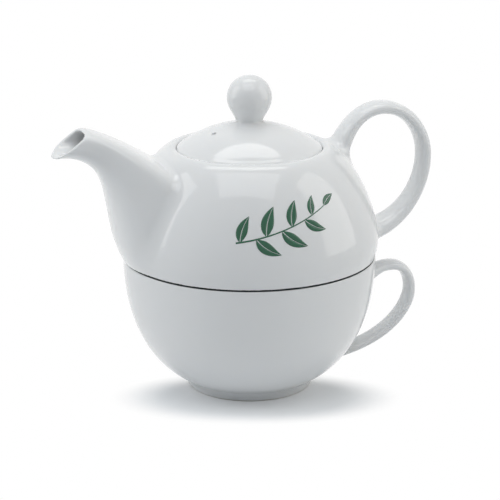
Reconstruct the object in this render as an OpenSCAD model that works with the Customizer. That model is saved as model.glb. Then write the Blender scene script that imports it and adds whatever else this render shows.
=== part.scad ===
// Tea for one: a porcelain teapot with its lid, standing on the cup that it shares its outline with.
// Millimetres, +Z up. The origin is the centre of the cup's foot ring, on the table.
// The spout points to -X and both handles to +X.

/* [Cup] */
// Outer diameter at the rim
cup_d = 110; // [106:1:114]
// Height from the table to the rim
cup_h = 58.8; // [57:0.2:61]
// Wall thickness at the rim
cup_wall = 3.4; // [3:0.1:4.5]
// Outer diameter of the foot ring on the table
cup_foot_d = 54.6; // [50:0.2:58]
// Height of the foot ring, where the bowl begins
cup_foot_h = 4; // [3:0.5:5]
// Thickness of the bowl's floor above the recess
cup_floor = 4; // [3:0.5:6]

/* [Teapot body] */
// Largest diameter, a little above the lower edge
pot_d = 112; // [110:0.5:116]
// Height of the shoulder beside the lid, from the table
pot_top = 107.2; // [105:0.2:110]
// Wall thickness
pot_wall = 4; // [3.5:0.1:5]
// Diameter of the opening that takes the lid's edge
pot_mouth_d = 63.6; // [60:0.2:66]
// Depth of the ledge that carries the lid
pot_ledge_depth = 4; // [3:0.5:5]
// How far the ledge reaches inwards
pot_ledge_w = 3.4; // [2.5:0.1:4]
// Depth of the foot ring that drops into the cup
pot_foot_depth = 7.3; // [5:0.1:9]
// Gap between that ring and the cup's wall
pot_foot_gap = 0.9; // [0.6:0.1:1.5]

/* [Spout] */
// Half width of the spout where it leaves the body
spout_root_w = 26; // [22:0.5:28]
// Half width of the spout at its mouth
spout_mouth_w = 9.4; // [8:0.1:10.5]
// Wall thickness at the root
spout_root_wall = 3.6; // [3:0.1:4]
// Wall thickness at the mouth
spout_mouth_wall = 1.9; // [1.6:0.1:2.4]
// Diameter of each strainer hole
strainer_d = 4; // [3:0.2:4.6]
// Distance between neighbouring strainer holes
strainer_pitch = 7; // [6:0.5:8]

/* [Handles] */
// Width of the teapot's handle strap
pot_strap_w = 12; // [10:0.2:13]
// Thickness of the teapot's handle strap
pot_strap_t = 5.5; // [4.6:0.1:6]
// Width of the cup's handle strap
cup_strap_w = 9.5; // [8:0.1:11]
// Thickness of the cup's handle strap
cup_strap_t = 4.2; // [3.6:0.1:5.4]

/* [Lid] */
// Height of the dome's crown, from the table
lid_crown = 117.6; // [116:0.2:120]
// Gap between the lid's edge and the opening
lid_gap = 0.4; // [0.3:0.1:0.8]
// Thickness of the dome
lid_wall = 3.2; // [2.8:0.1:4]
// Radius of the ball knob
knob_r = 9.7; // [8.5:0.1:11]
// Height of the knob's centre, from the table
knob_z = 128.5; // [127:0.1:131]
// Diameter of the steam vent
vent_d = 2.4; // [2:0.1:3]
// Distance of the vent from the axis
vent_r = 16.9; // [14:0.1:20]
// How far the lid is turned, which moves its vent from the spout towards the front
lid_turn = 10; // [0:1:60]

/* [Hidden] */

$fn = 96;
glaze = "whitesmoke";
curve_steps = 14;
round_steps = 4;

cup_r = cup_d / 2;
foot_r = cup_foot_d / 2;
pot_r = pot_d / 2;
mouth_r = pot_mouth_d / 2;
throat_r = mouth_r - pot_ledge_w;
ledge_z = pot_top - pot_ledge_depth;

// One point of a cubic curve, and a run of them
function bez(p, t) =
    pow(1 - t, 3) * p[0] + 3 * pow(1 - t, 2) * t * p[1] + 3 * (1 - t) * t * t * p[2] + pow(t, 3) * p[3];
function curve(p, n = curve_steps) = [for (i = [0:n]) bez(p, i / n)];

// The same run moved to its left by a thickness that changes from w0 to w1
function bez_dir(p, t) = let (d = 0.002, v = bez(p, min(t + d, 1)) - bez(p, max(t - d, 0))) v / norm(v);
function shell_curve(p, w0, w1, t0 = 0, t1 = 1, n = curve_steps) =
    [for (i = [0:n])
        let (t = mix(t0, t1, i / n), v = bez_dir(p, t)) bez(p, t) + [-v[1], v[0]] * mix(w0, w1, i / n)];
function reversed(v) = [for (i = [len(v) - 1:-1:0]) v[i]];

// An arc about c from angle a0 to a1
function arc(c, r, a0, a1, n = round_steps) =
    [for (i = [0:n]) let (a = a0 + (a1 - a0) * i / n) c + r * [cos(a), sin(a)]];

function mix(a, b, t) = a + (b - a) * t;
function spow(v, e) = sign(v) * pow(abs(v), e);

// A closed skin over rings that all have the same number of points
module skin(rings) {
    n = len(rings[0]);
    last = len(rings) - 1;
    points = [for (ring = rings) each ring];
    sides = [for (i = [0:last - 1], j = [0:n - 1])
        let (k = (j + 1) % n, a = i * n, b = a + n)
        each [[a + j, a + k, b + k], [a + j, b + k, b + j]]];
    first_cap = [[for (j = [n - 1:-1:0]) j]];
    last_cap = [[for (j = [0:n - 1]) last * n + j]];
    polyhedron(points, concat(first_cap, sides, last_cap), convexity = 6);
}

// Strap handles: a flattened round section carried along curves in the XZ plane

strap_sides = 16;
strap_steps = 13;

// The running point and direction of a chain of cubic curves, u from 0 to 1
function chain_at(chain, u) =
    let (m = len(chain), s = min(u * m, m - 0.0001), i = floor(s)) bez(chain[i], s - i);
function chain_dir(chain, u) =
    let (d = 0.004, v = chain_at(chain, min(u + d, 1)) - chain_at(chain, max(u - d, 0))) v / norm(v);

// How much wider the strap is at u; roots holds, for either end, the growth in width and the share of
// the strap's length that it takes
function flare(u, roots) =
    let (root = u < 0.5 ? roots[0] : roots[1], e = min(u, 1 - u) / root[1])
    e >= 1 ? 0 : root[0] * pow(1 - e, 2);

// One ring of the strap; its thickness grows twice as fast as its width towards a root
function strap_ring(chain, u, w, t, roots) =
    let (c = chain_at(chain, u), d = chain_dir(chain, u), side = [d[1], -d[0]], g = flare(u, roots))
    [for (j = [0:strap_sides - 1])
        let (a = 360 * j / strap_sides,
             across = w / 2 * (1 + g) * spow(cos(a), 0.85),
             out = t / 2 * (1 + 2 * g) * spow(sin(a), 0.85))
        [c[0] + side[0] * out, across, c[1] + side[1] * out]];

module strap(chain, w, t, roots) {
    steps = strap_steps * len(chain);
    skin([for (i = [0:steps]) strap_ring(chain, i / steps, w, t, roots)]);
}

// Cup

cup_rim_round = 1.3;
cup_bowl_curve = [[foot_r + 1, cup_foot_h], [51.5, 15.4], [cup_r, 43.5], [cup_r, cup_h - cup_rim_round]];
cup_inner_r = cup_r - cup_wall;
foot_ring_w = 3.4;
foot_recess = 3;
cup_floor_z = foot_recess + cup_floor;
// Where the bowl's wall runs out into its flat floor
floor_start = 0.14;
floor_flat_r = 14;

// The whole outside of the cup, filled in up to the rim
module cup_outer_profile() {
    polygon(concat(
        [[0, foot_recess], [foot_r - foot_ring_w - 1.6, foot_recess]],
        arc([foot_r - foot_ring_w + 0.8, 0.8], 0.8, 180, 270),
        arc([foot_r - 0.8, 0.8], 0.8, 270, 360),
        [[foot_r + 0.5, cup_foot_h - 0.9]],
        curve(cup_bowl_curve),
        arc([cup_r - cup_rim_round, cup_h - cup_rim_round], cup_rim_round, 0, 90),
        [[0, cup_h]]));
}

// The space inside the bowl, with the round of the rim's inner edge
module cup_hollow_profile() {
    wall = shell_curve(cup_bowl_curve, cup_wall + 0.6, cup_wall, floor_start, 1);
    edge = wall[0];
    run_out = bez_dir(cup_bowl_curve, floor_start) * 5;
    polygon(concat(
        [[0, cup_floor_z]],
        curve([[floor_flat_r, cup_floor_z], [edge[0] - 9, cup_floor_z], edge - run_out, edge], 5),
        [for (i = [1:len(wall) - 1]) wall[i]],
        reversed(arc([cup_inner_r + cup_rim_round, cup_h - cup_rim_round], cup_rim_round, 90, 180)),
        [[cup_inner_r + cup_rim_round, cup_h + 1], [0, cup_h + 1]]));
}

cup_handle_path = [
    [[50.4, 42.3], [58.9, 45.2], [59.5, 47.5], [65.9, 47.5]],
    [[65.9, 47.5], [73.1, 47.5], [75.5, 41.2], [75.5, 35.8]],
    [[75.5, 35.8], [75.5, 25.3], [60.6, 8.5], [31, 8.9]]];
cup_handle_roots = [[0.41, 0.25], [0.24, 0.12]];

module cup() {
    color(glaze) difference() {
        union() {
            rotate_extrude() cup_outer_profile();
            strap(cup_handle_path, cup_strap_w, cup_strap_t, cup_handle_roots);
        }
        rotate_extrude() cup_hollow_profile();
    }
}

// Teapot

skirt_z = cup_h + 6.6;
pot_edge_round = 1;
// The flat that rests on the cup's rim, and the open seam outside it
seat_r = cup_r - cup_rim_round - 0.2;
seam_gap = 0.5;
seam_z = cup_h + seam_gap;
ring_top_r = cup_inner_r - pot_foot_gap;
ring_low_r = ring_top_r - 1.2;
ring_z = cup_h - pot_foot_depth;
ring_w = 3.6;
ring_recess = 2.6;
dome_curve = [
    [pot_r, skirt_z], [pot_r, skirt_z + 19.5],
    [mouth_r + 8, pot_top + 0.9], [mouth_r + 1.4, pot_top]];

module pot_outer_profile() {
    polygon(concat(
        [[0, ring_z + ring_recess], [ring_low_r - ring_w - 1.5, ring_z + ring_recess]],
        arc([ring_low_r - ring_w + 0.8, ring_z + 0.8], 0.8, 180, 270),
        arc([ring_low_r - 0.8, ring_z + 0.8], 0.8, 270, 350),
        [[ring_top_r, cup_h], [seat_r, cup_h], [seat_r + 0.5, seam_z]],
        arc([pot_r - 0.8 - pot_edge_round, seam_z + pot_edge_round], pot_edge_round, 270, 350),
        [[pot_r - 0.25, skirt_z - 2.6]],
        curve(dome_curve),
        arc([mouth_r + 1.2, pot_top - 1.2], 1.2, 90, 180),
        [[mouth_r, ledge_z], [0, ledge_z]]));
}

pot_floor_z = ring_z + ring_recess + pot_wall;
cavity_r = pot_r - pot_wall;
cavity_corner = 7;
throat_z = ledge_z - 3.4;
// The dome's inside follows its outside until it turns in under the ledge
cavity_end = 0.72;

module pot_cavity_profile() {
    wall = shell_curve(dome_curve, pot_wall, pot_wall, 0, cavity_end);
    turn = wall[len(wall) - 1];
    polygon(concat(
        [[0, pot_floor_z]],
        arc([cavity_r - cavity_corner, pot_floor_z + cavity_corner], cavity_corner, 270, 360, 6),
        wall,
        [[throat_r + 3, throat_z - 0.4], [throat_r + 0.8, throat_z], [throat_r, throat_z + 0.8]],
        [[throat_r, pot_top], [0, pot_top]]));
}

// Spout: sections stand on a keel line and reach up to a top line, both in the XZ plane
spout_sides = 28;
spout_steps = 22;
bore_steps = 16;
spout_keel = [[-54.9, 59.5], [-66.9, 75], [-56.1, 110.5], [-86.8, 108.4]];
spout_top = [[-34, 98.5], [-50, 110], [-66.2, 118.4], [-72.3, 119.5]];
spout_half_w = [spout_root_w, 20, 10, spout_mouth_w];
spout_lip = 0.8;

// A ring of the spout at t, drawn in by wall and moved along by push
function spout_ring(t, wall, push = 0) =
    let (low = bez(spout_keel, t), high = bez(spout_top, t),
         up = (high - low) / norm(high - low), ahead = [-up[1], up[0]],
         belly = mix(0.6, 0.5, t), tall = norm(high - low),
         mid = low + (high - low) * belly + ahead * push,
         w = bez(spout_half_w, t) - wall,
         top_e = 2 / mix(3.6, 3.3, t), low_e = 2 / mix(2.6, 2, t))
    [for (j = [0:spout_sides - 1])
        let (a = 360 * j / spout_sides, e = sin(a) > 0 ? top_e : low_e,
             h = (sin(a) > 0 ? tall * (1 - belly) - wall : tall * belly - wall) * spow(sin(a), e),
             y = w * spow(cos(a), e))
        [mid[0] + up[0] * h, y, mid[1] + up[1] * h]];

module spout_body() {
    rings = [for (i = [0:spout_steps]) spout_ring(i / spout_steps * 0.985, 0)];
    skin(concat(rings, [spout_ring(1, 0.25), spout_ring(1, spout_lip, 0.25)]));
}

module spout_bore() {
    function wall(t) = mix(spout_root_wall, spout_mouth_wall, t);
    rings = [for (i = [0:bore_steps]) spout_ring(i / bore_steps, wall(i / bore_steps))];
    skin(concat(rings, [spout_ring(1, spout_mouth_wall - 0.5, 1.2)]));
}

// Strainer: staggered rows of holes through the body's wall behind the spout
strainer_z = 84;
strainer_r = 50.2;
strainer_tilt = 20;
strainer_rows = [3, 4, 3];
strainer_h = 8;

module strainer() {
    row_step = strainer_pitch * sin(60);
    mid_row = (len(strainer_rows) - 1) / 2;
    translate([-strainer_r, 0, strainer_z]) rotate([0, strainer_tilt, 0])
        for (row = [0:len(strainer_rows) - 1], i = [0:strainer_rows[row] - 1]) {
            y = (i - (strainer_rows[row] - 1) / 2) * strainer_pitch;
            translate([0, y, (row - mid_row) * row_step]) rotate([0, 90, 0])
                cylinder(d = strainer_d, h = strainer_h, center = true);
        }
}

pot_handle_path = [
    [[38.2, 93], [41.4, 109.3], [49.1, 120], [60.3, 120]],
    [[60.3, 120], [72, 120], [80.8, 109.1], [80.8, 97.3]],
    [[80.8, 97.3], [80.8, 82.7], [70.9, 66.2], [52.3, 64.3]]];
pot_handle_roots = [[0.45, 0.26], [0.39, 0.27]];

module teapot() {
    color(glaze) difference() {
        union() {
            rotate_extrude() pot_outer_profile();
            difference() {
                spout_body();
                spout_bore();
            }
            strap(pot_handle_path, pot_strap_w, pot_strap_t, pot_handle_roots);
        }
        rotate_extrude() pot_cavity_profile();
        strainer();
    }
}

// Lid

lid_r = mouth_r - lid_gap;
lid_edge_z = pot_top - 0.2;
lid_edge_round = 1.2;
dome_rise = lid_crown - lid_edge_z;
dome_r = (pow(lid_r - lid_edge_round * 0.4, 2) + pow(dome_rise, 2)) / (2 * dome_rise);
dome_c = [0, lid_crown - dome_r];
dome_half = asin((lid_r - lid_edge_round * 0.4) / dome_r);
inner_r = dome_r - lid_wall;
flange_r = throat_r - 0.5;
flange_w = 2.8;
flange_z = ledge_z - 8;
knob_taper = 26;
neck_r = 5.7;
neck_z = lid_crown + 0.9;
neck_dome_r = 8.6;

function dome_z(r) = dome_c[1] + sqrt(dome_r * dome_r - r * r);
function inner_z(r) = dome_c[1] + sqrt(inner_r * inner_r - r * r);

module lid_profile() {
    flange_in = flange_r - flange_w;
    knob_low = [knob_r * cos(knob_taper), knob_z - knob_r * sin(knob_taper)];
    polygon(concat(
        [[0, inner_z(0)]],
        arc(dome_c, inner_r, 90, 90 - asin((flange_in - 2) / inner_r), 6),
        [[flange_in, inner_z(flange_in - 2) - 3], [flange_in, flange_z + 0.8]],
        arc([flange_in + 0.8, flange_z + 0.8], 0.8, 180, 270),
        arc([flange_r - 0.8, flange_z + 0.8], 0.8, 270, 360),
        [[flange_r, ledge_z], [lid_r - 0.6, ledge_z], [lid_r, ledge_z + 0.6]],
        arc([lid_r - lid_edge_round, lid_edge_z - lid_edge_round * 0.75], lid_edge_round, 0, 62),
        arc(dome_c, dome_r, 90 - dome_half * 0.955, 90 - asin(neck_dome_r / dome_r), 10),
        curve([[neck_dome_r, dome_z(neck_dome_r)], [neck_r + 0.7, neck_z - 0.6], [neck_r, neck_z - 0.4],
               [neck_r + 0.15, neck_z + 0.5]], 5),
        arc([0, knob_z], knob_r, -knob_taper, 90, 14)));
}

module lid() {
    color(glaze) rotate([0, 0, lid_turn]) difference() {
        union() {
            rotate_extrude() lid_profile();
            lid_lug();
        }
        translate([-vent_r, 0, ledge_z]) cylinder(d = vent_d, h = lid_crown - ledge_z, $fn = 24);
    }
}

// The lug across from the vent that keeps the lid in while pouring
lug_reach = 2;
lug_h = 3;
lug_half_angle = 13;

module lid_lug() {
    rotate([0, 0, -lug_half_angle]) rotate_extrude(angle = 2 * lug_half_angle)
        polygon([[flange_r - 1, flange_z + 0.6], [flange_r + lug_reach - 0.8, flange_z + 0.6],
                 [flange_r + lug_reach, flange_z + 1.4], [flange_r + lug_reach, flange_z + lug_h],
                 [flange_r - 1, flange_z + lug_h + 1]]);
}

cup();
teapot();
lid();
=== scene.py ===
"""Looks of the tea for one set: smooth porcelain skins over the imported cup, teapot and lid, a green leaf
print on the pot's front, glaze, studio light and the photograph's camera. Shapes are worked out in
millimetres, with +Z up, the spout towards -X and both handles towards +X, and end in metres."""

import math

import bpy
import numpy as np
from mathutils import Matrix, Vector


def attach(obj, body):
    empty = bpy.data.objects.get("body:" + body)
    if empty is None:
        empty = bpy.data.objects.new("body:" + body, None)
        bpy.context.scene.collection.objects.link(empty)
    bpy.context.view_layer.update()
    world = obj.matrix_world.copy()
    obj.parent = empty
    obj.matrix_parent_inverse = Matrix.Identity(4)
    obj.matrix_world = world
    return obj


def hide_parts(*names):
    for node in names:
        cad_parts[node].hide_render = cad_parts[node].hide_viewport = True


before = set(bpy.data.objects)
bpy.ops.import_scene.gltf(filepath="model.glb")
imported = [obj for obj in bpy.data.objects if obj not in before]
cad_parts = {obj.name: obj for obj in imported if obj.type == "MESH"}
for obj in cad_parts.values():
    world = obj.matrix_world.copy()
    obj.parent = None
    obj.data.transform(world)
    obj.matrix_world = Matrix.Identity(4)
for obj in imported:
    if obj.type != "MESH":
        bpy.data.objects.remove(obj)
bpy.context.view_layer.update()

MM = 0.001

# The cup's sizes in mm, as in the solids

CUP_R = 55.0
CUP_H = 58.8
CUP_WALL = 3.4
CUP_WALL_LOW = CUP_WALL + 0.6
CUP_FLOOR_Z = 7.0
RIM_ROUND = 1.3
FOOT_R = 27.3
FOOT_H = 4.0
FOOT_RING_W = 3.4
FOOT_RECESS = 3.0
CUP_BOWL = [(28.3, 4.0), (51.5, 15.4), (55.0, 43.5), (55.0, 57.5)]
CUP_HANDLE = [
    [(50.4, 42.3), (58.9, 45.2), (59.5, 47.5), (65.9, 47.5)],
    [(65.9, 47.5), (73.1, 47.5), (75.5, 41.2), (75.5, 35.8)],
    [(75.5, 35.8), (75.5, 25.3), (60.6, 8.5), (31.0, 8.9)],
]
CUP_HANDLE_ROOTS = (0.41, 0.25), (0.24, 0.12)
CUP_HANDLE_W = 9.5
CUP_HANDLE_T = 4.2

# The teapot's sizes in mm, as in the solids

POT_R = 56.0
POT_TOP = 107.2
POT_WALL = 4.0
POT_FLOOR_Z = 58.1
CAVITY_CORNER = 7.0
SKIRT_Z = 65.4
SEAM_Z = 59.3
SEAT_R = 53.5
MOUTH_R = 31.8
THROAT_R = 28.4
LEDGE_Z = 103.2
LEDGE_T = 3.4
RING_Z = 51.5
RING_RECESS = 2.6
RING_TOP_R = 50.7
RING_LOW_R = 49.5
RING_W = 3.6
POT_DOME = [(56.0, 65.4), (56.0, 84.9), (39.8, 108.1), (33.2, 107.2)]
POT_HANDLE = [
    [(38.2, 93.0), (41.4, 109.3), (49.1, 120.0), (60.3, 120.0)],
    [(60.3, 120.0), (72.0, 120.0), (80.8, 109.1), (80.8, 97.3)],
    [(80.8, 97.3), (80.8, 82.7), (70.9, 66.2), (52.3, 64.3)],
]
POT_HANDLE_ROOTS = (0.45, 0.26), (0.39, 0.27)
POT_HANDLE_W = 12.0
POT_HANDLE_T = 5.5
SPOUT_KEEL = [(-54.9, 59.5), (-66.9, 75.0), (-56.1, 110.5), (-86.8, 108.4)]
SPOUT_TOP = [(-34.0, 98.5), (-50.0, 110.0), (-66.2, 118.4), (-72.3, 119.5)]
SPOUT_HALF_W = [26.0, 20.0, 10.0, 9.4]
SPOUT_WALL = 3.6
SPOUT_WALL_THINS = 1.7
HOLE_R = 2.0
HOLE_PITCH = 7.0
HOLE_X = 50.2
HOLE_Z = 84.0
HOLE_TILT = math.radians(20.0)
HOLE_ROWS = (3, 4, 3)

# The lid's sizes in mm, as in the solids but for the vent, which is as fine as the photograph shows it

LID_R = 31.4
LID_CROWN = 117.6
LID_EDGE_Z = 107.0
LID_WALL = 3.2
FLANGE_R = 27.9
FLANGE_W = 2.8
FLANGE_Z = 95.2
KNOB_R = 9.7
KNOB_Z = 128.5
NECK_R = 5.7
NECK_Z = 118.5
NECK_DOME_R = 8.6
LUG_HALF_TURN = math.radians(13)
VENT_R = 16.9
VENT_D = 1.7
LID_TURN = math.radians(10)

# Fine edges in mm, each a rounding radius or a small distance

RING_LEAN = 1.2
RECESS_ROUND = 1.0
RING_ROUND = 0.8
FOOT_FLARE = 0.45
FOOT_NECK = 0.6
FOOT_HOLLOW = 3.4
RIM_OUT_ROUND = 0.55
CUP_HANDLE_JOIN = 3.0
POT_HANDLE_JOIN = 4.0
SPOUT_JOIN = 2.6
SPOUT_LIP_ROUND = 0.85
BORE_ROUND = 1.0
BORE_END_ROUND = 0.8
STRAINER_ROUND = 0.4
SEAM_LIFT = 0.08
SEAM_ROUND = 0.45
MOUTH_ROUND = 1.1
MOUTH_DIP = 0.2
LID_GAP = 0.12
FLANGE_ROUND = 0.8
LID_EDGE_ROUND = 1.3
DOME_INSET = 0.5
VENT_ROUND = 0.25

# Room for the cuts, and the boxes in which straps, spout and strainer are worked out

CUT_PAST = 9
KEEP_R = 90
KEEP_TOP_Z = 135
CUP_STRAP_BOX = (26, 85), (-11, 11), (-1, 55)
POT_STRAP_BOX = (34, 90), (-16, 16), (50, 130)
SPOUT_BOX = (-95, -24), (-34, 34), (50, 130)
STRAINER_BOX = (-62, -38), (-20, 20), (68, 100)


# Curves and outlines in a plane


def bez(p, t):
    """Points of a cubic curve, or of a cubic in one number, at each t."""
    p, t = np.asarray(p, float), np.asarray(t, float)
    w = [(1 - t) ** 3, 3 * (1 - t) ** 2 * t, 3 * (1 - t) * t * t, t**3]
    if p.ndim == 1:
        return sum(w[i] * p[i] for i in range(4))
    return sum(w[i][..., None] * p[i] for i in range(4))


def bez_slope(p, t):
    p, t = np.asarray(p, float), np.asarray(t, float)
    w = [3 * (1 - t) ** 2, 6 * (1 - t) * t, 3 * t * t]
    return sum(w[i][..., None] * (p[i + 1] - p[i]) for i in range(3))


def run(p, t0=0.0, t1=1.0, n=60):
    return bez(p, np.linspace(t0, t1, n))


def inward(p, wall, t0=0.0, t1=1.0, n=60):
    """A curve moved to its left by a wall that may change along it."""
    t = np.linspace(t0, t1, n)
    d = bez_slope(p, t)
    d /= np.linalg.norm(d, axis=1)[:, None]
    w = np.linspace(*wall, n) if isinstance(wall, tuple) else np.full(n, wall)
    return bez(p, t) + np.stack([-d[:, 1], d[:, 0]], 1) * w[:, None]


def arc(c, r, a0, a1, n=14):
    a = np.radians(np.linspace(a0, a1, n))
    return np.stack([c[0] + r * np.cos(a), c[1] + r * np.sin(a)], 1)


def rounded(before, corner, after, radius, share=0.48, step=0.18):
    """The points of a corner's round, which takes at most a share of the shorter side."""
    u, v = before - corner, after - corner
    lu, lv = np.linalg.norm(u), np.linalg.norm(v)
    u, v = u / lu, v / lv
    half = math.acos(np.clip(u @ v, -1, 1)) / 2
    radius = min(radius, share * min(lu, lv) * math.tan(half))
    c = corner + (u + v) / np.linalg.norm(u + v) * radius / math.sin(half)
    a = corner + u * radius / math.tan(half) - c
    e = corner + v * radius / math.tan(half) - c
    turn = math.atan2(a[0] * e[1] - a[1] * e[0], a @ e)
    a0 = math.atan2(a[1], a[0])
    n = max(3, int(abs(turn) * radius / step) + 2)
    angles = [a0 + turn * k / (n - 1) for k in range(n)]
    return [c + radius * np.array([math.cos(angle), math.sin(angle)]) for angle in angles]


def outline(*parts, step=0.5):
    """One closed outline of corners (r, z), rounded corners (r, z, radius) and runs of points, cut into
    short lengths."""
    raw = []
    for part in parts:
        if isinstance(part, tuple):
            raw.append(part if len(part) == 3 else (*part, 0.0))
        else:
            raw += [(a, b, 0.0) for a, b in part]
    keep = [raw[0]]
    for p in raw[1:]:
        if math.hypot(p[0] - keep[-1][0], p[1] - keep[-1][1]) > 1e-4:
            keep.append(p)
    out = []
    for i, (x, z, radius) in enumerate(keep):
        corner = np.array([x, z])
        if radius:
            before, after = np.array(keep[i - 1][:2]), np.array(keep[(i + 1) % len(keep)][:2])
            out += rounded(before, corner, after, radius)
        else:
            out.append(corner)
    fine = []
    for a, b in zip(out, out[1:] + out[:1]):
        n = max(1, int(np.linalg.norm(b - a) / step))
        fine += [a + (b - a) * k / n for k in range(n)]
    return np.array(fine)


# Solids as fields: under 0 inside, about the distance in mm outside, with the slope on request

NET_EDGE = 3
NET_REACH = 13
TABLE_STEP = 0.25
BATCH = 40000


def revolve(poly):
    """The solid that an outline turned about Z sweeps. A point looks only at the pieces of the outline
    near the one that is nearest to its node of a 1 mm net."""
    a, d = poly, np.roll(poly, -1, axis=0) - poly
    axis = (a[:, 0] < 1e-6) & (np.roll(a[:, 0], -1) < 1e-6)
    turn = np.sign((a[:, 0] * np.roll(a[:, 1], -1) - np.roll(a[:, 0], -1) * a[:, 1]).sum())
    side = np.stack([d[:, 1], -d[:, 0]], 1) / np.linalg.norm(d, axis=1)[:, None] * turn
    side[axis] = 0
    corner = side + np.roll(side, 1, axis=0)
    corner /= np.maximum(np.linalg.norm(corner, axis=1), 1e-9)[:, None]
    n0, n1 = corner[~axis], np.roll(corner, -1, axis=0)[~axis]
    a, d = a[~axis], d[~axis]
    len2, m = (d**2).sum(1), len(a)

    def closest(p, pieces):
        t = np.clip(((p[:, None] - a[pieces]) * d[pieces]).sum(-1) / len2[pieces], 0, 1)
        d2 = ((p[:, None] - a[pieces] - t[..., None] * d[pieces]) ** 2).sum(-1)
        k = d2.argmin(1)
        row = np.arange(len(k))
        return pieces[row, k], t[row, k], np.sqrt(d2[row, k])

    low = np.floor(poly.min(0)) - NET_EDGE
    size = (np.ceil(poly.max(0)) + NET_EDGE + 1 - low).astype(int)
    lines = low[0] + np.arange(size[0]), low[1] + np.arange(size[1])
    net = np.stack(np.meshgrid(*lines, indexing="ij"), -1).reshape(-1, 2)
    first = closest(net, np.broadcast_to(np.arange(m), (len(net), m)))[0].reshape(size)

    def plane(r, z):
        p = np.stack([r.ravel(), z.ravel()], 1)
        f, g = np.empty(len(p)), np.empty((len(p), 2))
        for s in range(0, len(p), BATCH):
            q = p[s : s + BATCH]
            node = np.clip(np.rint(q - low).astype(int), 0, size - 1)
            pieces = first[node[:, 0], node[:, 1]][:, None] + np.arange(-NET_REACH, NET_REACH + 1)
            pieces = np.clip(pieces, 0, m - 1) if axis.any() else pieces % m
            k, t, far = closest(q, pieces)
            n = n0[k] * (1 - t[:, None]) + n1[k] * t[:, None]
            n /= np.maximum(np.linalg.norm(n, axis=1), 1e-9)[:, None]
            f[s : s + BATCH] = far * np.where(((q - a[k] - t[:, None] * d[k]) * n).sum(1) < 0, -1, 1)
            g[s : s + BATCH] = n
        return f, g

    def field(x, y, z, slope=False):
        r = np.hypot(x, y)
        if r.ndim == 3:
            rs, zs = np.arange(0, r.max() + 2 * TABLE_STEP, TABLE_STEP), z.ravel()
            table = plane(*np.meshgrid(rs, zs, indexing="ij"))[0].reshape(len(rs), len(zs))
            i = np.minimum((r[..., 0] / TABLE_STEP).astype(int), len(rs) - 2)
            w = (r[..., 0] / TABLE_STEP - i)[..., None]
            return table[i] * (1 - w) + table[i + 1] * w, None
        f, g = plane(r, z)
        q = np.maximum(r, 1e-9)
        return f, np.stack([g[:, 0] * x / q, g[:, 0] * y / q, g[:, 1]], 1)

    return field


def oval(y, h, a, b, n):
    """About the distance to a superellipse with half sizes a, b."""
    u, v = np.abs(y / a) + 1e-6, np.abs(h / b) + 1e-6
    s = u**n + v**n
    m = s ** (1 / n)
    return (m - 1) * s / m / np.hypot(u ** (n - 1) / a, v ** (n - 1) / b)


def swept(plan, values, step=0.01):
    """Fields of solids swept in the XZ plane: plan(x, z, guess) gives a section's place, and
    values(place, y) the fields there."""

    def fields(x, y, z, slope=False):
        here = plan(x, z, None)
        f = values(here, y)
        if not slope:
            return [(v, None) for v in f]
        over = values(plan(x + step, z, here[0]), y)
        beside = values(here, y + step)
        above = values(plan(x, z + step, here[0]), y)
        shifted = over, beside, above
        return [(v, np.stack([(w[k] - v) / step for w in shifted], 1)) for k, v in enumerate(f)]

    return fields


def plain(value, step=0.01):
    """A field from a function of x, y and z."""

    def fields(x, y, z, slope=False):
        f = value(x, y, z)
        if not slope:
            return [(f, None)]
        g = [value(x + step, y, z) - f, value(x, y + step, z) - f, value(x, y, z + step) - f]
        return [(f, np.stack(g, 1) / step)]

    return fields


def near(fields, *box, far_off=9.0):
    """The same fields, worked out only between the box's limits in x, y and z; elsewhere they count as
    far off."""
    count = len(fields(*np.full((3, 1), 0.5)))

    def local(x, y, z, slope=False):
        if x.ndim == 3:
            cut = []
            for v, (lo, hi) in zip((x, y, z), box):
                hit = np.flatnonzero((v.ravel() > lo) & (v.ravel() < hi))
                cut.append(slice(hit[0], hit[-1] + 1))
            out = [np.full(np.broadcast(x, y, z).shape, far_off) for _ in range(count)]
            for whole, (part, _) in zip(out, fields(x[cut[0]], y[:, cut[1]], z[:, :, cut[2]])):
                whole[tuple(cut)] = part
            return [(f, None) for f in out]
        m = np.all([(v > lo) & (v < hi) for v, (lo, hi) in zip((x, y, z), box)], axis=0)
        out = [(np.full(len(x), far_off), np.zeros((len(x), 3))) for _ in range(count)]
        for (f, g), (part, rise) in zip(out, fields(x[m], y[m], z[m], slope)):
            f[m] = part
            if slope:
                g[m] = rise
        return out

    return local


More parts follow.
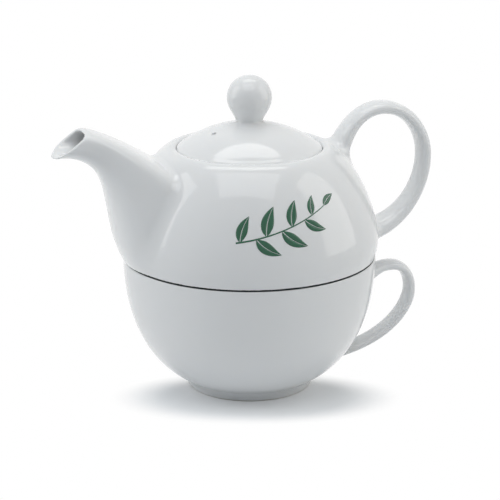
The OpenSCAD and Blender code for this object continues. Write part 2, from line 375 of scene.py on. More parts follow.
def strap(chain, w, t, roots):
    """A flattened round section carried along curves in the XZ plane, flared at both ends."""
    m = len(chain)
    us = np.linspace(0, m, 40 * m + 1)

    def at(u):
        i = np.clip(u.astype(int), 0, m - 1)
        p, d = np.zeros(u.shape + (2,)), np.zeros(u.shape + (2,))
        for k in range(m):
            hit = i == k
            p[hit], d[hit] = bez(chain[k], (u - k)[hit]), bez_slope(chain[k], (u - k)[hit])
        return p, d

    nodes = at(us)[0]

    def plan(x, z, guess):
        shape = np.broadcast(x, z).shape
        px, pz = np.broadcast_to(x, shape).ravel(), np.broadcast_to(z, shape).ravel()
        if guess is None:
            u = us[((px[:, None] - nodes[:, 0]) ** 2 + (pz[:, None] - nodes[:, 1]) ** 2).argmin(1)]
        else:
            u = guess.ravel()
        for _ in range(3):
            p, d = at(u)
            u = np.clip(u + ((px - p[:, 0]) * d[:, 0] + (pz - p[:, 1]) * d[:, 1]) / (d**2).sum(1), 0, m)
        p, d = at(u)
        d /= np.linalg.norm(d, axis=1)[:, None]
        out = (px - p[:, 0]) * d[:, 1] - (pz - p[:, 1]) * d[:, 0]
        end = np.maximum(np.abs((px - p[:, 0]) * d[:, 0] + (pz - p[:, 1]) * d[:, 1]) - 0.01, 0)
        grow = sum(g * np.clip(1 - e / m / share, 0, 1) ** 2 for e, (g, share) in zip((u, m - u), roots))
        return [v.reshape(shape) for v in (u, out, end, grow)]

    def values(place, y):
        _, out, end, g = place
        return (oval(y, out, w / 2 * (1 + g), t / 2 * (1 + 2 * g), 2 / 0.85) + end,)

    return swept(plan, values)


def neg(a):
    return -a[0], None if a[1] is None else -a[1]


def join(a, b, k):
    """Both solids, with a hollow round of radius k where they meet."""
    ua, ub = np.maximum(k - a[0], 0), np.maximum(k - b[0], 0)
    n = np.hypot(ua, ub)
    f = np.maximum(k, np.minimum(a[0], b[0])) - n
    if a[1] is None:
        return f, None
    s = np.maximum(n, 1e-12)
    wa = np.where(n > 0, ua / s, a[0] < b[0])[:, None]
    wb = np.where(n > 0, ub / s, a[0] >= b[0])[:, None]
    return f, wa * a[1] + wb * b[1]


def common(a, b, k):
    """What both solids share, with its edges rounded to radius k."""
    return neg(join(neg(a), neg(b), k))


def less(a, b, k):
    """The first solid without the second, with its edges rounded to radius k."""
    return common(a, neg(b), k)


# From a field to a mesh


def steps(*marks):
    """Grid lines from marks of (start, spacing), the last one with no spacing."""
    out = []
    for (a, step), (b, _) in zip(marks, marks[1:]):
        n = max(1, round((b - a) / step))
        out += [a + (b - a) * k / n for k in range(n)]
    return np.array(out + [marks[-1][0]])


def skin(name, field, xs, ys, zs):
    """A closed quad mesh on the field's zero, with the field's own slope as its normals."""
    grid = (xs, ys, zs)
    v = field(xs[:, None, None], ys[None, :, None], zs[None, None, :])[0]
    inside = v < 0
    cells = tuple(n - 1 for n in v.shape)
    total, count = np.zeros((np.prod(cells), 3)), np.zeros(np.prod(cells))
    quads = []
    for axis in range(3):
        lo = tuple(slice(None, -1) if k == axis else slice(None) for k in range(3))
        hi = tuple(slice(1, None) if k == axis else slice(None) for k in range(3))
        at = np.argwhere(inside[lo] != inside[hi])
        a, b = v[lo][tuple(at.T)], v[hi][tuple(at.T)]
        p = np.stack([grid[k][at[:, k]] for k in range(3)], 1)
        p[:, axis] += a / (a - b) * (grid[axis][at[:, axis] + 1] - grid[axis][at[:, axis]])
        o1, o2 = (axis + 1) % 3, (axis + 2) % 3
        ring = []
        for d1, d2 in ((0, 0), (1, 0), (1, 1), (0, 1)):
            c = at.copy()
            c[:, o1] -= d1
            c[:, o2] -= d2
            ring.append(np.ravel_multi_index(c.T, cells))
            np.add.at(total, ring[-1], p)
            np.add.at(count, ring[-1], 1)
        ring = np.stack(ring, 1)
        quads.append(np.where((a < 0)[:, None], ring, ring[:, ::-1]))
    used = np.flatnonzero(count)
    number = np.zeros(len(count), int)
    number[used] = np.arange(len(used))
    p = total[used] / count[used][:, None]
    for _ in range(3):
        f, g = field(*p.T, True)
        move = g * (f / np.maximum((g**2).sum(1), 0.05))[:, None]
        p -= move * np.minimum(1, 0.5 / np.maximum(np.linalg.norm(move, axis=1), 1e-9))[:, None]
    g = field(*p.T, True)[1]
    faces = number[np.concatenate(quads)]
    return solid_mesh(name, p, faces, g / np.maximum(np.linalg.norm(g, axis=1), 1e-9)[:, None])


def solid_mesh(name, points, faces, normals=None):
    mesh = bpy.data.meshes.new(name)
    mesh.from_pydata((np.asarray(points) * MM).tolist(), [], np.asarray(faces).tolist())
    mesh.shade_smooth()
    if normals is not None:
        mesh.normals_split_custom_set_from_vertices(normals.tolist())
    mesh.validate(verbose=False, clean_customdata=False)
    obj = bpy.data.objects.new(name, mesh)
    bpy.context.scene.collection.objects.link(obj)
    return obj


# Cup: its wall leaves the floor along a curve that starts flat and meets the bowl's inner side

FLOOR_FLAT_R = 14
FLOOR_REACH = 9
FLOOR_CURVE = 5
BOWL_START = 0.06
WALL_START = 0.14

cup_outer = revolve(outline(
    (0, FOOT_RECESS), (FOOT_R - FOOT_RING_W - RING_LEAN, FOOT_RECESS, RECESS_ROUND),
    (FOOT_R - FOOT_RING_W, 0, RING_ROUND), (FOOT_R, 0, RING_ROUND),
    (FOOT_R + FOOT_FLARE, FOOT_H - FOOT_NECK, FOOT_HOLLOW), run(CUP_BOWL, BOWL_START),
    (CUP_R, CUP_H, RIM_OUT_ROUND), (0, CUP_H)))
wall_line = inward(CUP_BOWL, (CUP_WALL_LOW, CUP_WALL), WALL_START)
wall_way = bez_slope(CUP_BOWL, np.array(WALL_START))
wall_way = wall_way / np.linalg.norm(wall_way) * FLOOR_CURVE
floor_curve = [(FLOOR_FLAT_R, CUP_FLOOR_Z), (wall_line[0][0] - FLOOR_REACH, CUP_FLOOR_Z),
               wall_line[0] - wall_way, wall_line[0]]
cup_hollow = revolve(outline(
    (0, CUP_FLOOR_Z), run(floor_curve), wall_line[1:],
    (CUP_R - CUP_WALL, CUP_H + CUT_PAST), (0, CUP_H + CUT_PAST)))
cup_strap = strap(CUP_HANDLE, CUP_HANDLE_W, CUP_HANDLE_T, CUP_HANDLE_ROOTS)
cup_strap = near(cup_strap, *CUP_STRAP_BOX)


def cup_field(x, y, z, slope=False):
    solid = join(cup_outer(x, y, z, slope), cup_strap(x, y, z, slope)[0], CUP_HANDLE_JOIN)
    return less(solid, cup_hollow(x, y, z, slope), RIM_ROUND)


cup = skin("cup_skin", cup_field,
           steps((-56.3, 1.15), (40, 1.0), (79.3, 0)),
           steps((-56.3, 1.15), (-7, 0.9), (7, 1.15), (56.3, 0)),
           steps((-0.7, 0.6), (6.2, 1.1), (55.3, 0.55), (57.4, 0.35), (59.7, 0)))

# Spout: each section is an oval across a line from the keel curve to the top curve


def spout_plan(x, z, guess, t_low=-0.12, t_high=1.25):
    """Where a point of the XZ plane lies in the spout: the section through it, and its height there."""
    shape = np.broadcast(x, z).shape
    px, pz = np.broadcast_to(x, shape).ravel(), np.broadcast_to(z, shape).ravel()
    keel, tops = np.asarray(SPOUT_KEEL), np.asarray(SPOUT_TOP)

    def ahead(t, unit=False):
        low, up = bez(keel, t), bez(tops - keel, t)
        v = (pz - low[..., 1]) * up[..., 0] - (px - low[..., 0]) * up[..., 1]
        return v / np.linalg.norm(up, axis=-1) if unit else v

    if guess is None:
        t = np.full(len(px), t_low)
        for step in (0.16, 0.04, 0.01):
            for _ in range(9):
                t = np.where((ahead(t + step) > 0) & (t + step < t_high), t + step, t)
    else:
        t = guess.ravel()
    e = 1e-4
    for _ in range(3):
        f = ahead(t)
        t = np.clip(t - np.clip(f * e / np.minimum(ahead(t + e) - f, -1e-9), -0.05, 0.05), t_low, t_high)
    low, up = bez(keel, t), bez(tops - keel, t)
    tall = np.linalg.norm(up, axis=1)
    c = np.clip(t, 0, 1)
    belly = (0.6 - 0.1 * c) * tall  # the widest level, above the keel
    h = ((px - low[:, 0]) * up[:, 0] + (pz - low[:, 1]) * up[:, 1]) / tall - belly
    half = np.where(h > 0, tall - belly, belly)
    n = np.where(h > 0, 4.8 - 0.8 * c, 2.6 - 0.6 * c)  # the oval's exponent, square above and round below
    past = np.maximum(ahead(np.ones_like(t), True) - 0.25, -ahead(np.full_like(t, -0.1), True))
    wide = bez(SPOUT_HALF_W, np.clip(t, -0.1, 1.1))
    return [v.reshape(shape) for v in (t, h, half, wide, n, past)]


def spout_values(place, y, lip_swell=0.35):
    """The spout's outside, its end planes and its bore. The wall thins towards the mouth, less so under
    the bore."""
    t, h, half, wide, n, past = place
    c = np.clip(t, 0, 1.05)
    wall = SPOUT_WALL - SPOUT_WALL_THINS * c
    lip = np.where(h > 0, 1, 1 + lip_swell * c**3)
    return oval(y, h, wide, half, n), past + 0 * y, oval(y, h, wide - wall, half - wall * lip, n)


def strainer_value(x, y, z, half_depth=4.6):
    """The rows of holes through the pot's wall behind the spout, each row offset from the next."""
    c, s = math.cos(HOLE_TILT), math.sin(HOLE_TILT)
    along = (x + HOLE_X) * c - (z - HOLE_Z) * s
    up = (x + HOLE_X) * s + (z - HOLE_Z) * c
    best = np.full(np.broadcast(x, y, z).shape, 99.0)
    for row, n in enumerate(HOLE_ROWS):
        off_up = (row - 1) * HOLE_PITCH * math.sin(math.radians(60))
        for i in range(n):
            off_y = (i - (n - 1) / 2) * HOLE_PITCH
            best = np.minimum(best, np.hypot(y - off_y, up - off_up) - HOLE_R)
    return np.maximum(best, np.abs(along) - half_depth)


# Teapot: a turned body with spout and handle, cut to the space that the cup leaves, then hollowed

SKIRT_IN_Z = RING_Z - 6
SKIRT_LOW_R = 54.5
SKIRT_SEAM_R = 54.9
SKIRT_TOP_R = 55.75
SEAM_CUT_Z = SEAM_Z + SEAM_LIFT
SEAT_LOW_R = SEAT_R - 0.4
SEAT_TOP_R = SEAT_R - 0.2
MOUTH_HOLE_R = LID_R + LID_GAP

pot_body = revolve(outline(
    (0, SKIRT_IN_Z), (SKIRT_LOW_R, SKIRT_IN_Z), (SKIRT_SEAM_R, SEAM_Z), (SKIRT_TOP_R, SKIRT_Z - 2.6),
    run(POT_DOME), (MOUTH_R - 6, POT_TOP - MOUTH_DIP), (0, POT_TOP - MOUTH_DIP)))
pot_keep = revolve(outline(
    (0, RING_Z + RING_RECESS), (RING_LOW_R - RING_W - RING_LEAN, RING_Z + RING_RECESS, RECESS_ROUND),
    (RING_LOW_R - RING_W, RING_Z, RING_ROUND), (RING_LOW_R, RING_Z, RING_ROUND),
    (RING_TOP_R, CUP_H - 0.1, 0.4), (SEAT_LOW_R, CUP_H, 0.2), (SEAT_TOP_R, SEAM_CUT_Z, 0.15),
    (KEEP_R, SEAM_CUT_Z), (KEEP_R, KEEP_TOP_Z), (0, KEEP_TOP_Z)))
pot_hollow = revolve(outline(
    (0, POT_FLOOR_Z), (POT_R - POT_WALL, POT_FLOOR_Z, CAVITY_CORNER), inward(POT_DOME, POT_WALL, 0.0, 0.72),
    (THROAT_R + 2.4, LEDGE_Z - 3.8, 1.2), (THROAT_R, LEDGE_Z - LEDGE_T, 0.8), (THROAT_R, LEDGE_Z, 0.7),
    (MOUTH_HOLE_R, LEDGE_Z, 0.6), (MOUTH_HOLE_R, POT_TOP + CUT_PAST), (0, POT_TOP + CUT_PAST)))
pot_strap = strap(POT_HANDLE, POT_HANDLE_W, POT_HANDLE_T, POT_HANDLE_ROOTS)
pot_strap = near(pot_strap, *POT_STRAP_BOX)
pot_spout = near(swept(spout_plan, spout_values), *SPOUT_BOX)
strainer = near(plain(strainer_value), *STRAINER_BOX)


def pot_field(x, y, z, slope=False):
    body = pot_body(x, y, z, slope)
    loft, end, bore = pot_spout(x, y, z, slope)
    tube = common(loft, end, SPOUT_LIP_ROUND)
    solid = join(body, tube, SPOUT_JOIN)
    solid = join(solid, pot_strap(x, y, z, slope)[0], POT_HANDLE_JOIN)
    solid = common(solid, pot_keep(x, y, z, slope), SEAM_ROUND)
    solid = less(solid, pot_hollow(x, y, z, slope), MOUTH_ROUND)
    solid = less(solid, less(bore, body, BORE_END_ROUND), BORE_ROUND)
    return less(solid, strainer(x, y, z, slope)[0], STRAINER_ROUND)


teapot = skin("teapot_skin", pot_field,
              steps((-88.2, 0.5), (-76, 0.8), (-70, 1.1), (-34, 0.8), (34, 1.05), (85.1, 0)),
              steps((-57.5, 1.15), (-33.6, 0.8), (-10.5, 0.7), (10.5, 0.8), (33.6, 1.15), (57.5, 0)),
              steps((50.7, 0.6), (58.0, 0.35), (61.0, 1.1), (99, 0.8), (104.5, 0.5), (112, 0.8), (124.2, 0)))

# Lid: a dome of even wall with its ball knob and a locating flange, a lug on the flange, and the vent

rise = LID_CROWN - LID_EDGE_Z
edge_r = LID_R - DOME_INSET
dome_r = (edge_r**2 + rise**2) / (2 * rise)
dome_c = (0.0, LID_CROWN - dome_r)
edge_angle = math.degrees(math.asin(edge_r / dome_r))
inner_r = dome_r - LID_WALL
flange_in = FLANGE_R - FLANGE_W


def dome_z(r, radius):
    """The height of a dome of a radius about the lid's own centre, r mm from the axis."""
    return dome_c[1] + math.sqrt(radius**2 - r * r)


under_angle = math.degrees(math.asin((flange_in - 3) / inner_r))
neck_angle = math.degrees(math.asin(NECK_DOME_R / dome_r))
under_dome = arc(dome_c, inner_r, 90, 90 - under_angle, 40)
over_dome = arc(dome_c, dome_r, 90 - edge_angle * 0.945, 90 - neck_angle, 60)
neck = run([(NECK_DOME_R, dome_z(NECK_DOME_R, dome_r)), (NECK_R + 0.7, NECK_Z - 0.6),
            (NECK_R, NECK_Z - 0.4), (NECK_R + 0.15, NECK_Z + 0.5)], n=14)
lid_body = revolve(outline(
    (0, dome_z(0, inner_r)), under_dome, (flange_in, dome_z(flange_in - 2, inner_r) - 3, 2.0),
    (flange_in, FLANGE_Z, FLANGE_ROUND), (FLANGE_R, FLANGE_Z, FLANGE_ROUND), (FLANGE_R, LEDGE_Z, 0.4),
    (LID_R, LEDGE_Z, 0.6), (LID_R, LID_EDGE_Z - 0.2, LID_EDGE_ROUND), over_dome, neck,
    arc((0, KNOB_Z), KNOB_R, -26, 90, 60)))
lug = revolve(outline(
    (FLANGE_R - 2, FLANGE_Z + 0.6), (FLANGE_R + 2, FLANGE_Z + 0.6, 0.8),
    (FLANGE_R + 2, FLANGE_Z + 3.2, 0.8), (FLANGE_R - 2, FLANGE_Z + 4.2)))


def lug_ends_value(x, y, z):
    """About the distance past the ends of the lug, along its round."""
    return np.hypot(x, y) * (np.abs(np.arctan2(y, x) - LID_TURN) - LUG_HALF_TURN) + 0 * z


def vent_value(x, y, z):
    """The upright vent hole, opposite the lug."""
    off_x, off_y = x + VENT_R * math.cos(LID_TURN), y + VENT_R * math.sin(LID_TURN)
    return np.maximum(np.hypot(off_x, off_y) - VENT_D / 2, LEDGE_Z - z)


lug_ends, vent = plain(lug_ends_value), plain(vent_value)


def lid_field(x, y, z, slope=False):
    catch = common(lug(x, y, z, slope), lug_ends(x, y, z, slope)[0], 0.6)
    solid = join(lid_body(x, y, z, slope), catch, 0.5)
    return less(solid, vent(x, y, z, slope)[0], VENT_ROUND)


lid = skin("lid_skin", lid_field,
           steps((-32.2, 0.55), (32.2, 0)),
           steps((-32.2, 0.55), (32.2, 0)),
           steps((94.5, 0.6), (104.6, 0.4), (108.2, 0.6), (139.3, 0)))

# Leaf print on the pot's front: thin green leaves that follow the glaze

PRINT_Z = 85.5
PRINT_OUT = 0.06
PRINT_IN = -0.08
STEM = [(-21.5, -6.5), (-8.0, -4.5), (6.0, 0.5), (19.0, 6.2)]
STEM_W = 0.75, 0.35
LEAF_BEND = 0.2
LEAVES = (  # share of the stem, turn from it in degrees, length, width
    (0.04, 62, 11.5, 5.2),
    (0.2, -48, 12.0, 5.4),
    (0.3, 58, 13.0, 6.0),
    (0.46, -52, 12.5, 5.6),
    (0.57, 55, 11.5, 5.2),
    (0.72, -50, 10.5, 4.8),
    (0.82, 52, 8.6, 4.0),
    (1.0, 4, 8.5, 3.6),
)

dome_line = run(POT_DOME, n=400)
dome_len = np.r_[0, np.cumsum(np.linalg.norm(np.diff(dome_line, axis=0), axis=1))]
print_len = np.interp(PRINT_Z, dome_line[:, 1], dome_len)
print_points, print_faces = [], []


def on_dome(s):
    """The radius and the height of the pot's outside, s mm along its dome."""
    return np.interp(s, dome_len, dome_line[:, 0]), np.interp(s, dome_len, dome_line[:, 1])


def on_pot(u, v, lift, reach=0.3):
    """The place u mm right of the print's middle and v mm up the pot's front, lift mm above the glaze."""
    s = print_len + v
    r, z = on_dome(s)
    r1, z1 = on_dome(s + reach)
    r0, z0 = on_dome(s - reach)
    m = np.hypot(r1 - r0, z1 - z0)
    a = -math.pi / 2 + u / on_dome(print_len)[0]
    r, z = r + lift * (z1 - z0) / m, z - lift * (r1 - r0) / m
    return np.stack([r * np.cos(a), r * np.sin(a), z], -1)


def ribbon(left, right, across=3):
    """A thin closed strip between two lines drawn on the pot."""
    w = np.linspace(0, 1, across)
    flat = left[:, None] * (1 - w[None, :, None]) + right[:, None] * w[None, :, None]
    base = sum(len(p) for p in print_points)
    top = on_pot(flat[..., 0], flat[..., 1], PRINT_OUT).reshape(-1, 3)
    low = on_pot(flat[..., 0], flat[..., 1], PRINT_IN).reshape(-1, 3)
    n = len(top)
    print_points.extend([top, low])
    i = np.arange(n).reshape(-1, across)
    q = np.stack([i[:-1, :-1], i[:-1, 1:], i[1:, 1:], i[1:, :-1]], -1).reshape(-1, 4)
    rim = np.r_[i[0], i[1:, -1], i[-1, -2::-1], i[-2:0:-1, 0]]
    side = np.stack([rim, np.roll(rim, -1), np.roll(rim, -1) + n, rim + n], 1)
    print_faces.extend([q[:, ::-1] + base, q + n + base, side + base])


def beside(d):
    """Unit vectors to the left of each row of d."""
    return np.stack([-d[:, 1], d[:, 0]], 1) / np.linalg.norm(d, axis=1)[:, None]


def stalk(p, w0, w1, n=40):
    t = np.linspace(0, 1, n)
    mid, side = bez(p, t), beside(bez_slope(p, t))
    w = (w0 + (w1 - w0) * t)[:, None] / 2
    ribbon(mid - side * w, mid + side * w)


def leaf(root, angle, length, width, bend, n=34):
    """A tea leaf in two halves with its vein left white, the tip drawn out."""
    a = math.radians(angle)
    ax, up = np.array([math.cos(a), math.sin(a)]), np.array([-math.sin(a), math.cos(a)])
    t = np.linspace(0.0, 1, n)
    mid = root + ax * (t * length)[:, None] + up * (bend * length * (t - t * t) * 1.6)[:, None]
    body = np.sin(np.pi * t**0.86) ** 0.9 * (1 - 0.25 * t) * width / 2
    vein = np.minimum(0.16, body * 0.5) * (1 - 0.6 * t)
    side = beside(np.gradient(mid, axis=0))
    edge = np.maximum(body, vein + 0.01)
    ribbon(mid + side * vein[:, None], mid + side * edge[:, None], 4)
    ribbon(mid - side * edge[:, None], mid - side * vein[:, None], 4)


stalk(STEM, *STEM_W)
for share, turn_by, length, width in LEAVES:
    stem_way = bez_slope(STEM, np.array(share))
    angle = math.degrees(math.atan2(stem_way[1], stem_way[0])) + turn_by
    leaf(bez(STEM, np.array(share)), angle, length, width, LEAF_BEND if turn_by > 0 else -LEAF_BEND)
leaf_print = solid_mesh("leaf_print", np.concatenate(print_points), np.concatenate(print_faces))

# Nodes that the materials and the sky share


def material(name):
    m = bpy.data.materials.new(name)
    m.use_nodes = True
    nodes, links = m.node_tree.nodes, m.node_tree.links
    nodes.clear()
    out = nodes.new("ShaderNodeOutputMaterial")
    return m, nodes, links, out


def feed(links, socket, value):
    """Set a socket to a plain value, or join it to another node's output."""
    if isinstance(value, bpy.types.NodeSocket):
        links.new(value, socket)
    else:
        socket.default_value = value


def ramp(nodes, links, value, lo, hi, a, b):
    """A Map Range node from lo..hi to a..b."""
    n = nodes.new("ShaderNodeMapRange")
    for key, v in zip(("Value", "From Min", "From Max", "To Min", "To Max"), (value, lo, hi, a, b)):
        feed(links, n.inputs[key], v)
    return n


def reckon(nodes, links, operation, a, b):
    """The result of a Math node, for two numbers or outputs."""
    n = nodes.new("ShaderNodeMath")
    n.operation = operation
    feed(links, n.inputs[0], a)
    feed(links, n.inputs[1], b)
    return n.outputs[0]


def blend(nodes, links, factor, a, b, kind="RGBA"):
    """What lies between a and b, two colours or, with kind FLOAT, two numbers."""
    n = nodes.new("ShaderNodeMix")
    n.data_type = kind
    for key, value in (("Factor", factor), ("A", a), ("B", b)):
        feed(links, n.inputs[key], value)
    return n.outputs["Result"]


def noise(nodes, links, where, scale, detail):
    """A noise texture that stays on the piece."""
    n = nodes.new("ShaderNodeTexNoise")
    n.inputs["Scale"].default_value = scale
    n.inputs["Detail"].default_value = detail
    links.new(where.outputs["Object"], n.inputs["Vector"])
    return n


def mix_shaders(nodes, links, factor, a, b):
    n = nodes.new("ShaderNodeMixShader")
    for socket, output in zip(n.inputs, (factor, a, b)):
        links.new(output, socket)
    return n.outputs[0]


# Glaze and print

GLAZE_TONES = (0.838, 0.849, 0.855, 1), (0.860, 0.867, 0.870, 1)
DRY_TONES = (0.72, 0.70, 0.66, 1), (0.80, 0.78, 0.75, 1)
DRY_ROUGH = 0.62
# Painted shade: a dark band on the cup's rim and the teapot's seat, standing in for the shade in the seam
# between them
PAINTED_SEAM_SHADE = (0.13, 0.14, 0.14, 1)
SEAM_SHADE_SOFT = 0.08
INK_TONES = (0.005, 0.085, 0.038, 1), (0.010, 0.130, 0.062, 1)


def glaze_colour(nodes, links, where, seed, height, low, grit, seam_shade):
    """Faintly clouded white, a dry foot where low is 1, and a band of painted shade between two heights,
    where cup and teapot meet.
    """
    cloud = noise(nodes, links, where, scale=22, detail=3)
    cloud.noise_dimensions = "4D"
    cloud.inputs["W"].default_value = seed
    tone = blend(nodes, links, cloud.outputs["Fac"], *GLAZE_TONES)
    bare = blend(nodes, links, grit.outputs["Fac"], *DRY_TONES)
    colour = blend(nodes, links, low, tone, bare)
    if not seam_shade:
        return colour
    # The band between the two heights is painted shade for the seam where cup and teapot meet
    bottom, top = seam_shade
    over = ramp(nodes, links, height, bottom * MM, (bottom + SEAM_SHADE_SOFT) * MM, 0, 1)
    under = ramp(nodes, links, height, (top - SEAM_SHADE_SOFT) * MM, top * MM, 1, 0)
    seam_shade_band = reckon(nodes, links, "MULTIPLY", over.outputs[0], under.outputs[0])
    return blend(nodes, links, seam_shade_band, colour, PAINTED_SEAM_SHADE)


def glaze_normal(nodes, links, where, low, grit):
    """A slow ripple in the glaze, and a fine grit where low is 1."""
    ripple = noise(nodes, links, where, scale=36, detail=1.5)
    bump = nodes.new("ShaderNodeBump")
    bump.inputs["Strength"].default_value = 0.22
    bump.inputs["Distance"].default_value = 0.0006
    links.new(ripple.outputs["Fac"], bump.inputs["Height"])
    fine = nodes.new("ShaderNodeBump")
    fine.inputs["Distance"].default_value = 0.00004
    links.new(grit.outputs["Fac"], fine.inputs["Height"])
    links.new(low, fine.inputs["Strength"])
    links.new(bump.outputs[0], fine.inputs["Normal"])
    return fine.outputs[0]


def glaze(name, ring_top, ring_soft, seed, seam_shade=None):
    """Clear glaze over white porcelain, dry below ring_top, with a band of painted seam shade if its heights
    are given.
    """
    m, nodes, links, out = material(name)
    bsdf = nodes.new("ShaderNodeBsdfPrincipled")
    links.new(bsdf.outputs[0], out.inputs[0])
    where = nodes.new("ShaderNodeTexCoord")
    split = nodes.new("ShaderNodeSeparateXYZ")
    links.new(where.outputs["Object"], split.inputs[0])
    height = split.outputs["Z"]
    low = ramp(nodes, links, height, ring_top * MM, (ring_top + ring_soft) * MM, 1, 0).outputs[0]
    grit = noise(nodes, links, where, scale=1800, detail=4)
    smear = noise(nodes, links, where, scale=70, detail=5)
    gloss = ramp(nodes, links, smear.outputs["Fac"], 0.3, 0.7, 0.055, 0.105)
    colour = glaze_colour(nodes, links, where, seed, height, low, grit, seam_shade)
    links.new(colour, bsdf.inputs["Base Color"])
    rough = blend(nodes, links, low, gloss.outputs[0], DRY_ROUGH, "FLOAT")
    links.new(rough, bsdf.inputs["Roughness"])
    links.new(glaze_normal(nodes, links, where, low, grit), bsdf.inputs["Normal"])
    bsdf.inputs["IOR"].default_value = 1.52
    bsdf.inputs["Subsurface Weight"].default_value = 0.12
    bsdf.inputs["Subsurface Radius"].default_value = (1.0, 0.9, 0.8)
    bsdf.inputs["Subsurface Scale"].default_value = 0.0015
    return m


def print_ink():
    """Green decal colour under the glaze, a little uneven like a transfer."""
    m, nodes, links, out = material("green_transfer")
    bsdf = nodes.new("ShaderNodeBsdfPrincipled")
    links.new(bsdf.outputs[0], out.inputs[0])
    where = nodes.new("ShaderNodeTexCoord")
    mottle = noise(nodes, links, where, scale=420, detail=5)
    links.new(blend(nodes, links, mottle.outputs["Fac"], *INK_TONES), bsdf.inputs["Base Color"])
    gloss = ramp(nodes, links, mottle.outputs["Fac"], 0.3, 0.7, 0.10, 0.18)
    links.new(gloss.outputs[0], bsdf.inputs["Roughness"])
    bsdf.inputs["IOR"].default_value = 1.5
    return m


# The last heights given to the cup's and the teapot's glaze place their band of painted seam shade
for piece, node, mat in (
    (cup, "cup", glaze("cup_glaze", 0.35, 0.5, 1.3, (CUP_H - 0.14, CUP_H + 1))),
    (teapot, "teapot", glaze("teapot_glaze", RING_Z + 0.35, 0.5, 4.7, (CUP_H - 0.3, SEAM_Z + 0.2))),
    (lid, "lid", glaze("lid_glaze", FLANGE_Z + 0.3, 0.4, 8.1))):
    piece.data.materials.append(mat)
    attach(piece, "root")
    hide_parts(node)
leaf_print.data.materials.append(print_ink())
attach(leaf_print, "root")

# Studio: floor, backdrop and light, with places given as the photographer stands

TURN = math.radians(18)
RISE = math.radians(16.9)
FAR = 0.930
LOOK = Vector((0, 0, 0.0603))
PAPER = (0.87, 0.885, 0.90, 1)
PAPER_LIFT = 0.09
POOL_PLACE = 0.003, -0.022, 0
POOL_SIZE = 0.060, 0.031, 1
POOL_EDGE = 0.62, 1.08
FILL_COLOUR = (0.89, 0.95, 1.0, 1)
FILL_LEVEL = 0.085
FILL_GLOWS = ((0, 0, 1), 0.35), ((0, -1, 1), 0.12), ((-1, 0, 1), 0.45)
GLOW_POWER = 4
FLOOR_HALF = 3


def studio(right, away, up):
    """A place in metres to the right, away from the camera and up."""
    c, s = math.cos(TURN), math.sin(TURN)
    return Vector((right * c + away * s, away * c - right * s, up))


def shown_rays(nodes, links):
    """1 for rays from the camera, a mirror or glass, else 0."""
    path = nodes.new("ShaderNodeLightPath").outputs
    seen = reckon(nodes, links, "MAXIMUM", path["Is Camera Ray"], path["Is Glossy Ray"])
    return reckon(nodes, links, "MAXIMUM", seen, path["Is Transmission Ray"])


def glowing(nodes, strength):
    n = nodes.new("ShaderNodeEmission")
    n.inputs["Strength"].default_value = strength
    return n.outputs[0]


def beyond_pool(nodes, links):
    """0 in the oval pool of shade under the cup, rising softly to 1 outside it."""
    place = nodes.new("ShaderNodeNewGeometry")
    pool = nodes.new("ShaderNodeMapping")
    pool.vector_type = "TEXTURE"
    pool.inputs["Location"].default_value = studio(*POOL_PLACE)
    pool.inputs["Rotation"].default_value = (0, 0, -TURN)
    pool.inputs["Scale"].default_value = POOL_SIZE
    links.new(place.outputs["Position"], pool.inputs["Vector"])
    off = nodes.new("ShaderNodeVectorMath")
    off.operation = "LENGTH"
    links.new(pool.outputs[0], off.inputs[0])
    edge = ramp(nodes, links, off.outputs["Value"], *POOL_EDGE, 0, 1)
    edge.interpolation_type = "SMOOTHSTEP"
    return edge.outputs[0]


def floor_material():
    """White paper that shows the soft pool of shade under the cup and is plain white beyond it."""
    m, nodes, links, out = material("floor_white")
    paper = nodes.new("ShaderNodeBsdfDiffuse")
    paper.inputs["Color"].default_value = PAPER
    lifted = nodes.new("ShaderNodeAddShader")
    links.new(paper.outputs[0], lifted.inputs[0])
    links.new(glowing(nodes, PAPER_LIFT), lifted.inputs[1])
    shown = mix_shaders(nodes, links, beyond_pool(nodes, links), lifted.outputs[0], glowing(nodes, 1))
    last = mix_shaders(nodes, links, shown_rays(nodes, links), paper.outputs[0], shown)
    links.new(last, out.inputs[0])
    return m


def soft_sky(nodes, links, level, glows):
    """The strength of a dim room light, with a wide glow about each (right, away, up) direction."""
    way = nodes.new("ShaderNodeTexCoord").outputs["Generated"]
    total = level
    for towards, bright in glows:
        facing = nodes.new("ShaderNodeVectorMath")
        facing.operation = "DOT_PRODUCT"
        facing.inputs[1].default_value = studio(*towards).normalized()
        links.new(way, facing.inputs[0])
        ahead = reckon(nodes, links, "MAXIMUM", facing.outputs["Value"], 0)
        spread = reckon(nodes, links, "POWER", ahead, GLOW_POWER)
        total = reckon(nodes, links, "ADD", reckon(nodes, links, "MULTIPLY", spread, bright), total)
    return total


def studio_world():
    """A cool room light for the set, and white where the camera, a mirror or glass looks past it."""
    world = bpy.data.worlds.new("studio")
    bpy.context.scene.world = world
    world.use_nodes = True
    nodes, links = world.node_tree.nodes, world.node_tree.links
    nodes.clear()
    out = nodes.new("ShaderNodeOutputWorld")
    fill = nodes.new("ShaderNodeBackground")
    fill.inputs["Color"].default_value = FILL_COLOUR
    links.new(soft_sky(nodes, links, FILL_LEVEL, FILL_GLOWS), fill.inputs["Strength"])
    white = nodes.new("ShaderNodeBackground")
    white.inputs["Color"].default_value = (1, 1, 1, 1)
    white.inputs["Strength"].default_value = 1.0
    last = mix_shaders(nodes, links, shown_rays(nodes, links), fill.outputs[0], white.outputs[0])
    links.new(last, out.inputs[0])


def turned_to(obj, place, aim):
    way = (Vector(aim) - Vector(place)).normalized()
    obj.location = place
    straight_down = abs(way.z) >= 0.99
    obj.rotation_euler = (0, 0, -TURN) if straight_down else way.to_track_quat("-Z", "Y").to_euler()
    bpy.context.scene.collection.objects.link(obj)


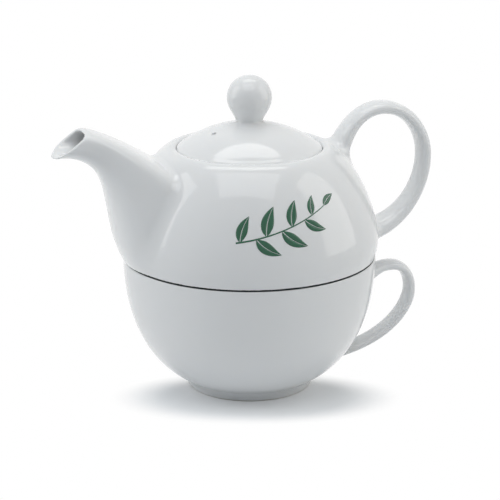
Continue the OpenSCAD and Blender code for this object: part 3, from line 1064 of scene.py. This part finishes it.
def softbox(name, place, aim, size, bright, colour=(1, 1, 1), shape="RECTANGLE"):
    """A lamp of size (wide, tall) in metres that looks as bright as given: 1 is white paper's white."""
    lamp = bpy.data.lights.new(name, "AREA")
    lamp.shape = shape
    lamp.size, lamp.size_y = size
    lamp.energy = bright * math.pi * size[0] * size[1]
    if shape == "ELLIPSE":
        lamp.energy *= math.pi / 4
    lamp.color = colour
    turned_to(bpy.data.objects.new(name, lamp), place, aim)


corners = [(-FLOOR_HALF, -FLOOR_HALF, 0), (FLOOR_HALF, -FLOOR_HALF, 0),
           (FLOOR_HALF, FLOOR_HALF, 0), (-FLOOR_HALF, FLOOR_HALF, 0)]
floor_mesh = bpy.data.meshes.new("floor")
floor_mesh.from_pydata(corners, [], [(0, 1, 2, 3)])
floor_mesh.materials.append(floor_material())
floor = bpy.data.objects.new("floor", floor_mesh)
bpy.context.scene.collection.objects.link(floor)
studio_world()
softbox("top_dish", studio(-0.04, 0.325, 1.15), studio(-0.04, 0.325, 0),
        size=(0.92, 0.42), bright=2.6, colour=(1.0, 0.985, 0.96), shape="ELLIPSE")
softbox("front_top_box", studio(-0.03, -0.39, 1.10), studio(0, 0, 0.1), size=(0.95, 0.68), bright=1.55)
softbox("left_box", studio(-0.95, 0, 0.5), studio(0, 0, 0.1),
        size=(0.5, 0.9), bright=1.6, colour=(1.0, 0.99, 0.965))
softbox("right_box", studio(0.9, -0.06, 0.6), studio(0, -0.06, 0.6),
        size=(0.6, 1.2), bright=1.5, colour=(1.0, 0.98, 0.93))

# Camera: the photograph's own view

PHOTO_PX = 500
FOCAL_PX = 2130
SHIFT_PX = 0.6
SENSOR_MM = 36

cam_data = bpy.data.cameras.new("photo_camera")
cam_data.sensor_width = SENSOR_MM
cam_data.lens = SENSOR_MM * FOCAL_PX / PHOTO_PX
cam_data.shift_x = SHIFT_PX / PHOTO_PX
cam_data.clip_start = 0.05
cam_data.clip_end = 20
camera = bpy.data.objects.new("photo_camera", cam_data)
back = Vector((-math.sin(TURN) * math.cos(RISE), -math.cos(TURN) * math.cos(RISE), math.sin(RISE)))
camera.location = LOOK + back * FAR
camera.rotation_euler = (-back).to_track_quat("-Z", "Y").to_euler()
bpy.context.scene.collection.objects.link(camera)
bpy.context.scene.camera = camera
bpy.context.scene.view_settings.view_transform = "Standard"

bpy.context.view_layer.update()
for o in (cup, teapot, lid, leaf_print):
    triangles = sum(len(p.vertices) - 2 for p in o.data.polygons)
    print(o.name, len(o.data.vertices), "points", triangles, "triangles")
